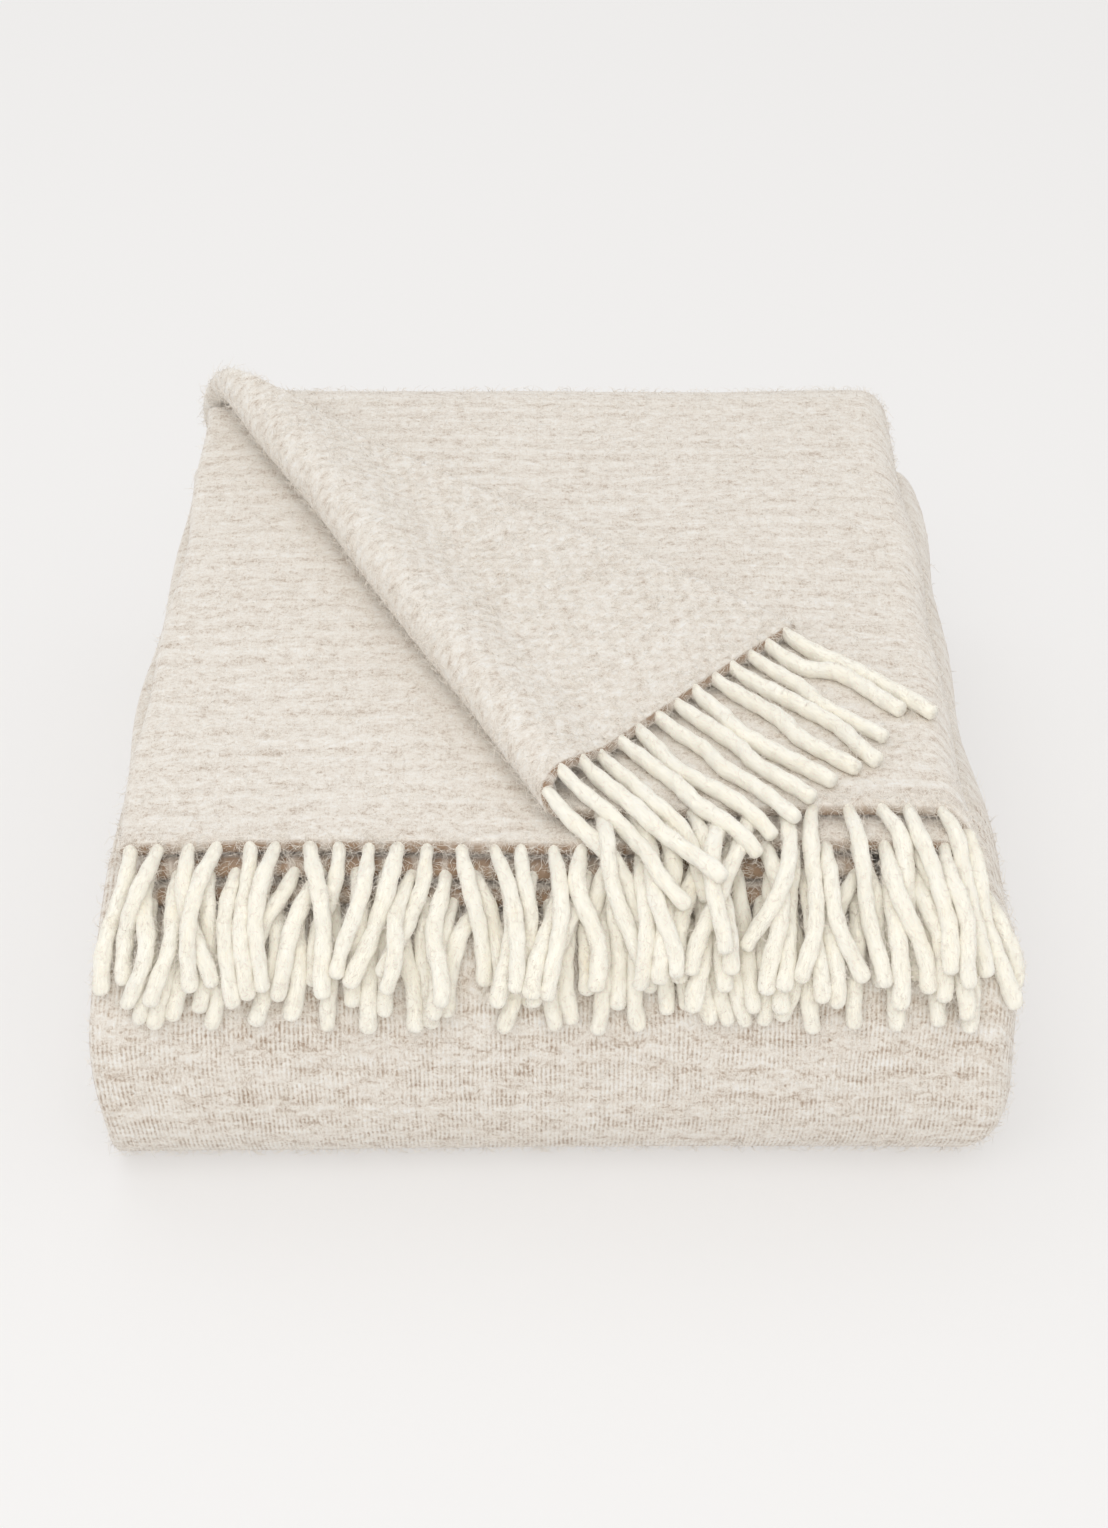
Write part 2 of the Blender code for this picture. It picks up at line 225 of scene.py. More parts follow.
def settle(points):
    """The soft unevenness of the whole stack, which grows with height over the floor."""
    x, y, z = points.T
    lift = np.clip(z / CAD_BOX[1].z, 0.0, 1.0)
    edge = np.abs(x) / TOP_HALF
    swell = 0.0009 * np.sin(19 * x + 1.1) * np.cos(15 * y + 0.4) + 0.0006 * np.sin(37 * x - 26 * y)
    sag = 0.0024 * np.clip(edge, 0, 1.1) ** 5
    moved = np.empty_like(points)
    moved[:, 0] = x + edge ** 3 * (
        0.0013 * np.sin(23 * y + 48 * z + 0.7) + 0.0010 * np.sin(57 * y - 75 * z + 2.0)
    )
    moved[:, 1] = y + 0.0010 * np.sin(16 * x + 33 * z + 0.5) * np.abs(y) / 0.2
    moved[:, 2] = z + lift * (swell - sag)
    return moved


# ---------------------------------------------------------------- meshes

def put(name, data):
    """A new object of the scene."""
    obj = bpy.data.objects.new(name, data)
    bpy.context.scene.collection.objects.link(obj)
    return obj


def make_mesh(name, verts, faces, uv, material):
    """A smooth mesh object from quads, with web coordinates in metres, by corner, as its UV map."""
    mesh = bpy.data.meshes.new(name)
    mesh.vertices.add(len(verts))
    mesh.vertices.foreach_set("co", np.asarray(verts, np.float32).ravel())
    mesh.loops.add(faces.size)
    mesh.loops.foreach_set("vertex_index", faces.astype(np.int32).ravel())
    mesh.polygons.add(len(faces))
    mesh.polygons.foreach_set("loop_start", np.arange(0, faces.size, 4, dtype=np.int32))
    mesh.polygons.foreach_set("use_smooth", np.ones(len(faces), bool))
    mesh.update(calc_edges=True)
    mesh.validate()
    layer = mesh.uv_layers.new(name="web")
    layer.data.foreach_set("uv", uv.astype(np.float32).ravel())
    mesh.materials.append(material)
    return put(name, mesh)


def graded(length, step):
    """Distances from 0 to length, closer together over the rounded rim at both ends."""
    rim = RIM * (1 - np.cos(np.radians((0, 30, 55))))
    steps = max(2, round((length - 2 * RIM) / step) + 1)
    return np.concatenate((rim, np.linspace(RIM, length - RIM, steps), (length - rim)[::-1]))


def rim_share(points):
    """Share of the cloth's thickness at each point of a grid, falling to 0 round the rim."""
    share = np.ones(points.shape[:2])
    for axis in (0, 1):
        step = np.linalg.norm(np.diff(points, axis=axis), axis=2)
        zero = np.zeros_like(np.take(step, [0], axis=axis))
        walked = np.concatenate((zero, np.cumsum(step, axis=axis)), axis=axis)
        total = np.take(walked, [-1], axis=axis)
        near = np.minimum(walked, total - walked) / RIM
        share *= np.sqrt(np.clip(1 - (1 - np.clip(near, 0, 1)) ** 2, 0, 1))
    return share


def relief(u, s):
    """Height of the cloth's own surface: soft ribs along the weft, broken up along them."""
    rows = np.sin(2 * pi * s / RIB_PITCH + 1.3 * np.sin(11 * u + 2) + 0.8 * np.sin(47 * u + 60 * s))
    lumps = np.sin(180 * u + 90 * s) * np.sin(310 * s - 70 * u + 1.0)
    return RIB * rows * (0.6 + 0.4 * np.sin(29 * u - 17 * s)) + LUMP * lumps


def cloth(name, x, s, h, u, material, v=None):
    """A closed sheet of cloth over a grid of web places, with a rounded rim all round.

    The web coordinate v runs back from the cloth's front edge. It is negative on the underside, so
    that the material can tell the two faces of the cloth apart.
    """
    x, s, h, u = np.broadcast_arrays(x, s, h, u)
    points = place(x, s, h)
    normal = np.cross(np.gradient(points, axis=1), np.gradient(points, axis=0))
    normal /= np.maximum(np.linalg.norm(normal, axis=2, keepdims=True), 1e-12)
    share = rim_share(points)
    share[[0, -1], :] = 0
    share[:, [0, -1]] = 0
    half = share * (RIM + relief(u, s) * (share > 0.6))
    rows, columns = share.shape
    face_up = np.arange(rows * columns).reshape(rows, columns)
    face_down = face_up.copy()
    inner = rows * columns + np.arange((rows - 2) * (columns - 2))
    face_down[1:-1, 1:-1] = inner.reshape(rows - 2, columns - 2)
    over = points + normal * half[..., None]
    under = (points - normal * half[..., None])[1:-1, 1:-1]
    verts = settle(np.concatenate((over.reshape(-1, 3), under.reshape(-1, 3))))
    v = s - front_edge(h) if v is None else np.broadcast_to(v, x.shape)
    web = np.stack((u, v), axis=-1).reshape(-1, 2)

    def quads(grid):
        around = (grid[:-1, :-1], grid[:-1, 1:], grid[1:, 1:], grid[1:, :-1])
        return np.stack(around, axis=-1).reshape(-1, 4)

    faces = np.concatenate((quads(face_up), quads(face_down)[:, ::-1]))
    corners = quads(face_up)
    uv = np.concatenate((web[corners], web[corners[:, ::-1]] * (1, -1)))
    return make_mesh(name, verts, faces, uv, material)


def run_of(*parts):
    """Parts of a ply's section, one after another: x, h and the distance u along them."""
    line = np.concatenate(parts)
    keep = np.concatenate(([True], np.linalg.norm(np.diff(line, axis=0), axis=1) > 1e-6))
    line = line[keep]
    u = np.concatenate(([0.0], np.cumsum(np.linalg.norm(np.diff(line, axis=0), axis=1))))
    return line[:, 0], line[:, 1], u


def flat(x_from, x_to, h, step=FINE):
    """A level part of a section, from one place across the roll to another."""
    along = graded(abs(x_to - x_from), step)
    x = x_from + np.sign(x_to - x_from) * along
    return np.stack((x, np.full_like(x, h)), axis=-1)


def bend(side, radius, middle_h, first, last, steps=13):
    """A bend at the side of the roll, between two angles above the level, in degrees."""
    angle = np.radians(np.linspace(first, last, steps))
    x = side * (SIDE_X + SIDE_LEAD + radius * np.cos(angle))
    return np.stack((x, middle_h + radius * np.sin(angle)), axis=-1)


OUTER, INNER = 1.5 * PLY, 0.5 * PLY
TAIL = 0.02
LEFT = -TOP_HALF
SECTIONS = {
    "outer": run_of(flat(LEFT, SIDE_X, OUTER), bend(1, OUTER, 0, 90, -90, 19),
                    flat(SIDE_X, SIDE_X - TAIL, -OUTER)),
    "second": run_of(flat(LEFT + 0.0015, SIDE_X, INNER), bend(1, INNER, 0, 90, -90),
                     flat(SIDE_X, SIDE_X - TAIL, -INNER)),
    "third": run_of(flat(SIDE_X - TAIL - RIM, -SIDE_X, -INNER), bend(-1, INNER, -PLY, 90, -90),
                    flat(-SIDE_X, SIDE_X - TAIL + RIM, -OUTER)),
}


def roll_piece(name, section, s_from, s_to, material, step=FINE, u_start=0.0):
    """One ply of the roll with its side bend, between two stations."""
    x, h, u = SECTIONS[section]
    s = s_from + graded(s_to - s_from, step)
    return cloth(name, x[None, :], s[:, None], h[None, :], u_start + u[None, :], material)


def top_piece(name, section, s_to, material, step=FINE, u_start=0.0):
    """One ply of the top panel with its side bend, from its own front edge to a station."""
    x, h, u = SECTIONS[section]
    front = front_edge(h)
    s = front[None, :] + (s_to - front[None, :]) * graded(s_to, step)[:, None] / s_to
    return cloth(name, x[None, :], s, h[None, :], u_start + u[None, :], material)


# ---------------------------------------------------------------- the turned-back corner

def crease_x(s):
    """Where the crease crosses a station, or the selvedge behind the crease's end."""
    return np.maximum(CREASE_X + s * CREASE_ALONG[0] / CREASE_ALONG[1], LEFT)


def turned(x, s):
    """Where a place of the uppermost ply left of the crease lies once its corner is turned back."""
    offset_x = x - CREASE_X
    along = offset_x * CREASE_ALONG[0] + s * CREASE_ALONG[1]
    away = -(offset_x * CREASE_IN[0] + s * CREASE_IN[1])
    share = np.clip(along / CREASE_SPAN, 0, 1)
    radius = CREASE_RADIUS[0] + (CREASE_RADIUS[1] - CREASE_RADIUS[0]) * share
    relax = CREASE_RELAX[0] + (CREASE_RELAX[1] - CREASE_RELAX[0]) * share
    angle = np.clip(away / radius, 0, pi)
    past = np.maximum(away - pi * radius, 0)
    inward = past - radius * np.sin(angle) + np.maximum(-away, 0)
    height = radius * (1 - np.cos(angle)) - (2 * radius - FLAP_REST) * smooth(past / relax)
    x_new = CREASE_X + CREASE_ALONG[0] * along + CREASE_IN[0] * inward
    s_new = CREASE_ALONG[1] * along + CREASE_IN[1] * inward
    return x_new, s_new, HEIGHTS[0] + height


def corner_flap(material):
    """The turned-back corner with the roll of cloth along its crease."""
    s = graded(APEX_S - APEX_CUT, FINE)[:, None]
    right = CREASE_X + s * CREASE_ALONG[0] / CREASE_ALONG[1] + RIM / CREASE_IN[0]
    width = right - LEFT
    share = graded(width[0, 0], 0.0022) / width[0, 0]
    x = right - width * share[None, :]
    x_new, s_new, h_new = turned(x, s)
    return cloth("corner_flap_cloth", x_new, s_new, h_new, x - LEFT, material, -s)


def top_leaf(material, s_to):
    """The uppermost ply right of the crease, with the bend at its right side."""
    x, h, u = SECTIONS["outer"]
    flat_part = (h > OUTER - 1e-6) & (x <= SIDE_X + 1e-6)
    front = front_edge(h)
    s = front[None, :] + (s_to - front[None, :]) * graded(s_to, FINE)[:, None] / s_to
    left = crease_x(s) - RIM / CREASE_IN[0] * (s < APEX_S)
    left = np.maximum(left, LEFT)
    share = (x - LEFT) / (SIDE_X - LEFT)
    grid_x = np.where(flat_part[None, :], left + (SIDE_X - left) * share[None, :], x[None, :])
    grid_u = np.where(flat_part[None, :], grid_x - LEFT, u[None, :])
    return cloth("top_leaf_cloth", grid_x, s, h[None, :], grid_u, material)


# ---------------------------------------------------------------- the fringe

def section_line(*parts):
    """A ply's section as points that a distance along it can be looked up on."""
    x, h, u = run_of(*parts)
    return u, x, h


ROWS = [
    section_line(flat(LEFT, SIDE_X, OUTER), bend(1, OUTER, 0, 90, 0)),
    section_line(flat(LEFT, SIDE_X, INNER), bend(1, INNER, 0, 90, 0)),
    section_line(bend(-1, INNER, -PLY, 0, 90), flat(-SIDE_X, SIDE_X, -INNER),
                 bend(1, INNER, 0, -90, 0)),
    section_line(bend(-1, INNER, -PLY, 0, -90), flat(-SIDE_X, SIDE_X, -OUTER),
                 bend(1, OUTER, 0, -90, 0)),
]
PITCH = ROWS[0][0][-1] / STRANDS


def row_roots(row):
    """x and h of the strands' roots in one row of the fringe."""
    u, x, h = ROWS[row]
    at = (np.arange(STRANDS) + 0.5) * u[-1] / STRANDS
    return np.interp(at, u, x), np.interp(at, u, h)


def outward(length):
    """Distances of a strand's links from the edge of the cloth, for an array of lengths."""
    return np.linspace(0, 1, LINKS)[None, :] * length[:, None] - EMBED


def straight_strands(x, h, length):
    """Strands as they would stick out of the plies' front edges, one row of links each."""
    return place(x[:, None], front_edge(h)[:, None] - outward(length), h[:, None])


def front_profile():
    """The outside of the roll under the fringe, as (y, z) points, from the base upwards."""
    s = np.concatenate((
        np.linspace(START["front"] - 0.06, START["front"], 4)[:-1],
        np.linspace(START["front"], START["upper"], 50),
        np.linspace(START["upper"], START["upper"] + 0.09, 5)[1:],
    ))
    return place(0.0, s, HEIGHTS[0] + RIM)[:, 1:]


PROFILE = front_profile()


def floor_push(points, reach):
    """How far to move each point so that it clears the plies and the roll below it."""
    x, y, z = points.T
    push = np.zeros_like(points)
    touching = np.zeros(len(points), bool)
    # The front of the roll, whose ends round off at the sides.
    a, b = PROFILE[:-1], PROFILE[1:]
    step = b - a
    length = np.linalg.norm(step, axis=1)
    facing = np.stack((-step[:, 1], step[:, 0]), axis=1) / length[:, None]
    flat_points = points[:, 1:]
    t = np.einsum("nmk,mk->nm", flat_points[:, None] - a[None], step) / length ** 2
    nearest = a[None] + np.clip(t, 0, 1)[..., None] * step[None]
    apart = flat_points[:, None] - nearest
    distance = np.linalg.norm(apart, axis=2)
    pick = np.argmin(distance, axis=1)
    everyone = np.arange(len(points))
    side = np.einsum("nk,nk->n", apart[everyone, pick], facing[pick])
    signed = np.where(side >= 0, distance[everyone, pick], -distance[everyone, pick])
    beyond = np.clip(np.abs(x) - (TOP_HALF + 0.007 - ROUND_END), 0, 0.9 * ROUND_END)
    retreat = ROUND_END - np.sqrt(ROUND_END ** 2 - beyond ** 2)
    depth = reach - retreat - signed
    inside = (depth > 0) & (depth < 0.02)
    push[inside, 1:] += facing[pick][inside] * depth[inside, None]
    touching |= inside
    # The plies of the top panel, each a level sheet with a rounded front.
    for row in range(4):
        back = np.maximum(y, LEAF_FRONT[row] + RIM)
        dy, dz = y - back, z - LEAF_Z[row]
        gap = np.hypot(dy, dz)
        left = CREASE_X - 0.004 if row == 0 else LEFT
        hit = (gap < RIM + reach) & (x > left) & (x < SIDE_X + SIDE_LEAD)
        if not hit.any():
            continue
        upward = np.where(np.abs(dz) < 1e-6, 1.0, np.sign(dz))
        flat_hit = dy >= -1e-9
        move_y = np.where(flat_hit, 0.0, dy / np.maximum(gap, 1e-9))
        move_z = np.where(flat_hit, upward, dz / np.maximum(gap, 1e-9))
        amount = RIM + reach - gap
        push[hit, 1] += (move_y * amount)[hit]
        push[hit, 2] += (move_z * amount)[hit]
        touching |= hit
    # The bend at the right side of the top panel.
    bx, bz = x - (SIDE_X + SIDE_LEAD), z - TOP_Z
    gap = np.hypot(bx, bz)
    limit = OUTER + RIM + reach
    front = LEAF_FRONT[0] + front_edge(np.clip(bz, HEIGHTS[3], HEIGHTS[0]))
    hit = (bx > 0) & (gap < limit) & (y > front)
    push[hit, 0] += (bx / np.maximum(gap, 1e-9) * (limit - gap))[hit]
    push[hit, 2] += (bz / np.maximum(gap, 1e-9) * (limit - gap))[hit]
    touching |= hit
    return push, touching


def close_pairs(points, strand_of, link_of, reach):
    """Pairs of links of different strands, or far apart on one strand, that are near each other."""
    order = np.argsort(points[:, 0], kind="stable")
    sorted_x = points[order, 0]
    first = np.arange(len(points))
    last = np.searchsorted(sorted_x, sorted_x + reach, side="right")
    counts = last - first - 1
    left = np.repeat(first, counts)
    offset = np.arange(counts.sum()) - np.repeat(np.cumsum(counts) - counts, counts)
    right = left + 1 + offset
    i, j = order[left], order[right]
    near = np.abs(points[i, 1] - points[j, 1]) < reach
    near &= np.abs(points[i, 2] - points[j, 2]) < reach
    near &= (strand_of[i] != strand_of[j]) | (np.abs(link_of[i] - link_of[j]) > 4)
    return i[near], j[near]


def follow(pos, link, share=0.9):
    """Brings the links of every strand back to their length, from the root to the tip."""
    for k in range(2, LINKS):
        d = pos[:, k] - pos[:, k - 1]
        length = np.linalg.norm(d, axis=1, keepdims=True)
        fix = d * (1 - link / np.maximum(length, 1e-9))
        pos[:, k] -= fix * (1.0 if k == 2 else share)
        if k > 2:
            pos[:, k - 1] += fix * (1 - share)


def hang(strands, slope, length, steps):
    """Lets strands fall from their roots under gravity on to the plies, the roll and each other."""
    count = len(strands)
    link = (length / (LINKS - 1))[:, None]
    pos = strands.copy()
    pos[:, 1:, 0] += np.cumsum(slope[:, 1:], axis=1) * link
    pos[:, :, 0] = np.clip(pos[:, :, 0], -SIDE_SPREAD, SIDE_SPREAD)
    follow(pos, link, 1.0)
    wanted_dx = np.diff(pos[:, :, 0], axis=1)
    old = pos.copy()
    strand_of = np.repeat(np.arange(count), LINKS)
    link_of = np.tile(np.arange(LINKS), count)
    free = (link_of >= 2)[:, None]
    straight_span = STRAIGHT_LINKS * link[:, :, None]
    i = j = np.zeros(0, int)
    for step in range(steps):
        speed = np.clip((pos - old) * KEEP_SPEED, -TOP_SPEED, TOP_SPEED)
        speed[:, :2] = 0
        old = pos.copy()
        pos = pos + speed
        pos[:, 2:, 2] -= FALL
        pos[:, 2:, 1] += DRIFT_BACK
        if step % 3 == 0:
            i, j = close_pairs(pos.reshape(-1, 3), strand_of, link_of, STRAND * 1.5)
        for _ in range(4):
            d = pos[:, 2:] - pos[:, :-2]
            span = np.linalg.norm(d, axis=2, keepdims=True)
            short = np.maximum(straight_span - span, 0) / np.maximum(span, 1e-9)
            pos[:, 2:] += short * d * STIFFNESS
            pull = pos[:, :-1, 0] + wanted_dx - pos[:, 1:, 0]
            pos[:, 2:, 0] += KEEP_SIDEWAYS * pull[:, 1:]
            points = pos.reshape(-1, 3)
            d = points[i] - points[j]
            apart = np.linalg.norm(d, axis=1)
            hit = apart < STRAND
            overlap = (STRAND - apart[hit]) / np.maximum(apart[hit], 1e-9)
            move = d[hit] * (overlap * PAIR_SHARE)[:, None]
            total = np.zeros_like(points)
            np.add.at(total, i[hit], move)
            np.add.at(total, j[hit], -move)
            points = points + np.clip(total, -PAIR_STEP, PAIR_STEP) * free
            push, touching = floor_push(points, STRAND / 2)
            points = points + np.clip(push, -FLOOR_STEP, FLOOR_STEP) * free
            pos = points.reshape(count, LINKS, 3)
            follow(pos, link)
        rub = (touching & free[:, 0]).reshape(count, LINKS)
        old[rub] += RUB * (pos - old)[rub]
    for _ in range(4):
        pos[:, 2:-1] = (pos[:, 1:-2] + 2 * pos[:, 2:-1] + pos[:, 3:]) / 4
    return pos


def curve_through(lines, share):
    """Points at shares of the way along smooth lines of evenly spaced links, for all at once."""
    links = lines.shape[1]
    t = np.clip(share * (links - 1), 0, links - 1 - 1e-6)
    k = t.astype(int)
    f = (t - k)[None, :, None]
    before = lines[:, np.maximum(k - 1, 0)]
    a, b = lines[:, k], lines[:, k + 1]
    after = lines[:, np.minimum(k + 2, links - 1)]
    return 0.5 * (2 * a + (b - before) * f + (2 * before - 5 * a + 4 * b - after) * f ** 2
                  + (3 * a - before - 3 * b + after) * f ** 3)


def fringe(name, lines, length, material, sides=12, ring_step=0.0017, seed=1):
    """Twisted strands as closed tubes with rounded ends, all in one piece."""
    random = np.random.default_rng(seed)
    count = len(lines)
    longest = length.max()
    tip = STRAND / 2 * (1 - np.cos(np.radians((0, 25, 50, 72))))
    rings = np.concatenate((np.arange(0, longest - STRAND / 2, ring_step), (longest - tip)[::-1]))
    centre = curve_through(lines, rings / longest)
    tangent = np.gradient(centre, axis=1)
    tangent /= np.maximum(np.linalg.norm(tangent, axis=2, keepdims=True), 1e-12)
    side = np.cross(tangent[:, 0], (0.0, 0.0, 1.0))
    sides_list = []
    for k in range(len(rings)):
        side = side - tangent[:, k] * np.sum(side * tangent[:, k], axis=1, keepdims=True)
        side /= np.maximum(np.linalg.norm(side, axis=1, keepdims=True), 1e-12)
        sides_list.append(side.copy())
    side = np.stack(sides_list, axis=1)
    up = np.cross(tangent, side)
    angle = np.arange(sides) * 2 * pi / sides
    phase = random.uniform(0, 2 * pi, (count, 4, 1, 1))
    length = length[:, None, None]
    d = rings[None, :, None] / longest * length
    wide = random.uniform(0.93, 1.06, (count, 1, 1))
    lumps = 1 + 0.035 * np.sin(d * 130 + phase[:, 0]) + 0.02 * np.sin(d * 330 + phase[:, 1])
    twist = 1 + 0.055 * np.cos(2 * (angle[None, None, :] - d * 2 * pi / 0.020 + phase[:, 2]))
    near_tip = np.clip((length - d) / (STRAND / 2), 0, 1)
    end = np.sqrt(np.clip(1 - (1 - near_tip) ** 2, 0.02, 1))
    neck = 0.80 + 0.20 * smooth((d - EMBED) / 0.012)
    radius = FLUFF * STRAND / 2 * wide * lumps * twist * end * neck
    ring = (centre[:, :, None] + radius[..., None] * (
        np.cos(angle)[None, None, :, None] * side[:, :, None]
        + np.sin(angle)[None, None, :, None] * up[:, :, None]))
    per = len(rings) * sides
    base = np.arange(count)[:, None, None] * per
    a = np.arange(len(rings) - 1)[None, :, None] * sides
    k = np.arange(sides)[None, None, :]
    k2 = (k + 1) % sides
    faces = np.stack((base + a + k, base + a + k2, base + a + sides + k2, base + a + sides + k), -1)
    faces = faces.reshape(-1, 4)
    caps = []
    for half in range(sides // 2 - 1):
        quad = np.array((half, half + 1, sides - 2 - half, sides - 1 - half))
        caps.append(quad[::-1][None] + np.arange(count)[:, None] * per)
        caps.append(quad[None] + np.arange(count)[:, None] * per + (len(rings) - 1) * sides)
    faces = np.concatenate([faces, *caps])
    around = np.broadcast_to(np.abs(angle - pi)[None, None, :] * STRAND / 2, radius.shape)
    along = np.broadcast_to(d, radius.shape)
    shift = random.uniform(0, 3, (count, 1, 1))
    uv = np.stack((around + shift, along + shift), axis=-1).reshape(-1, 2)
    return make_mesh(name, settle(ring.reshape(-1, 3)), faces, uv[faces], material)


def fuzz(name, source, count, length, material, seed, hem_share=0.0):
    """Short loose fibres that stand off a piece: thin three-sided closed spikes, softly curved.

    A share of them can be kept for the hem, the first millimetres behind a ply's front edge.
    """
    random = np.random.default_rng(seed)
    mesh = source.data
    points = np.empty(len(mesh.vertices) * 3, np.float32)
    mesh.vertices.foreach_get("co", points)
    points = points.reshape(-1, 3)
    corners = np.empty(len(mesh.loops), np.int32)
    mesh.loops.foreach_get("vertex_index", corners)
    quads = points[corners.reshape(-1, 4)]
    diagonals = np.cross(quads[:, 2] - quads[:, 0], quads[:, 3] - quads[:, 1])
    area = np.linalg.norm(diagonals, axis=1)
    out = diagonals / np.maximum(area, 1e-12)[:, None]
    chance = area / area.sum()
    if hem_share:
        web = np.empty(len(mesh.loops) * 2, np.float32)
        mesh.uv_layers["web"].data.foreach_get("uv", web)
        at_hem = area * (np.abs(web.reshape(-1, 4, 2)[:, :, 1]).max(axis=1) < HEM)
        chance = (1 - hem_share) * chance + hem_share * at_hem / at_hem.sum()
    pick = random.choice(len(quads), count, p=chance)
    a, b = random.random((2, count, 1))
    quad, normal = quads[pick], out[pick]
    root = ((1 - a) * (1 - b) * quad[:, 0] + a * (1 - b) * quad[:, 1]
            + a * b * quad[:, 2] + (1 - a) * b * quad[:, 3]) - normal * 0.0004
    sideways = random.normal(0, 1, (count, 3))
    sideways -= normal * np.sum(sideways * normal, axis=1, keepdims=True)
    sideways /= np.linalg.norm(sideways, axis=1, keepdims=True)
    across = np.cross(normal, sideways)
    long = length * random.uniform(0.4, 1.3, (count, 1))
    lie = random.uniform(0.5, 1.4, (count, 1))
    curl = random.normal(0, 0.5, (count, 1))
    rings = []
    for step, thick in ((0.0, 1.0), (0.5, 0.85), (1.0, 0.3)):
        at = root + long * (normal * (step - 0.45 * step ** 2) + sideways * lie * step
                            + across * curl * step ** 2)
        for turn in range(3):
            angle = 2 * pi * turn / 3
            rings.append(at + FIBRE * thick * (cos(angle) * across + sin(angle) * normal))
    verts = np.stack(rings, axis=1).reshape(-1, 3)
    verts[:, 2] = np.maximum(verts[:, 2], 0.0)
    base = np.arange(count)[:, None, None] * 9
    ring = np.arange(2)[None, :, None] * 3
    k = np.arange(3)[None, None, :]
    sides = np.stack((base + ring + k, base + ring + (k + 1) % 3,
                      base + ring + 3 + (k + 1) % 3, base + ring + 3 + k), -1).reshape(-1, 4)
    ends = np.arange(count)[:, None] * 9
    triangles = np.concatenate((ends + np.array((0, 2, 1)), ends + np.array((6, 7, 8))))
    made = bpy.data.meshes.new(name)
    made.from_pydata(verts.tolist(), [], sides.tolist() + triangles.tolist())
    made.shade_smooth()
    made.materials.append(material)
    return put(name, made)


# ---------------------------------------------------------------- materials

def add(tree, kind, links=None, **settings):
    """A shader node, with its settings and with values or sources for its inputs."""
    made = tree.nodes.new("ShaderNode" + kind)
    for setting, value in settings.items():
        setattr(made, setting, value)
    for socket, source in (links or {}).items():
        if isinstance(source, bpy.types.NodeSocket):
            tree.links.new(source, made.inputs[socket])
        else:
            made.inputs[socket].default_value = source
    return made


def calc(tree, operation, a, b=0.0, c=0.0):
    """One arithmetic node."""
    return add(tree, "Math", {0: a, 1: b, 2: c}, operation=operation).outputs[0]


def noise(tree, web, scale, detail=2.0, roughness=0.5, distortion=0.0, offset=0.0):
    """Noise over the web, with its own scale across and along it, in features per metre."""
    mapping = add(tree, "Mapping", {"Vector": web, "Scale": (scale[0], scale[1], 1.0),
                                    "Location": (offset, offset * 0.7, offset * 1.3)})
    return add(tree, "TexNoise", {"Vector": mapping.outputs[0], "Scale": 1.0, "Detail": detail,
                                  "Roughness": roughness, "Distortion": distortion}).outputs["Fac"]


def ramp(tree, factor, *stops):
    """A colour ramp from (place, colour) stops."""
    made = add(tree, "ValToRGB", {"Fac": factor})
    elements = made.color_ramp.elements
    while len(elements) < len(stops):
        elements.new(0.5)
    for element, (position, colour) in zip(elements, stops):
        element.position = position
        element.color = (*colour, 1.0)
    return made.outputs["Color"]


def material_base(name):
    """An empty material with a Principled shader."""
    made = bpy.data.materials.new(name)
    made.use_nodes = True
    return made, made.node_tree, made.node_tree.nodes["Principled BSDF"]


def set_inputs(node, values):
    """Uniform values, on the node's own sockets."""
    for socket, value in values.items():
        node.inputs[socket].default_value = value


# Wool colours, linear, adjusted by region averages to the one photograph.
PALE = (0.884, 0.865, 0.829)
CREAM = (0.822, 0.774, 0.700)
OAT = (0.735, 0.668, 0.586)
TAUPE = (0.539, 0.447, 0.362)
BROWN = (0.366, 0.260, 0.183)
# The hem's colour: brown weft, darkened as painted shade of the gaps under the plies' edges.
HEM_WEFT_AND_SHADE = (0.300, 0.185, 0.105)
TICK_PITCH = 0.0015
BAND_PITCH = 0.0125
DOT_PITCH = (0.0088, 0.0105)


def about(tree, source, weight, base=0.0):
    """A noise's swing about its middle, weighted and added to a base."""
    return calc(tree, "MULTIPLY_ADD", calc(tree, "SUBTRACT", source, 0.5), weight, base)


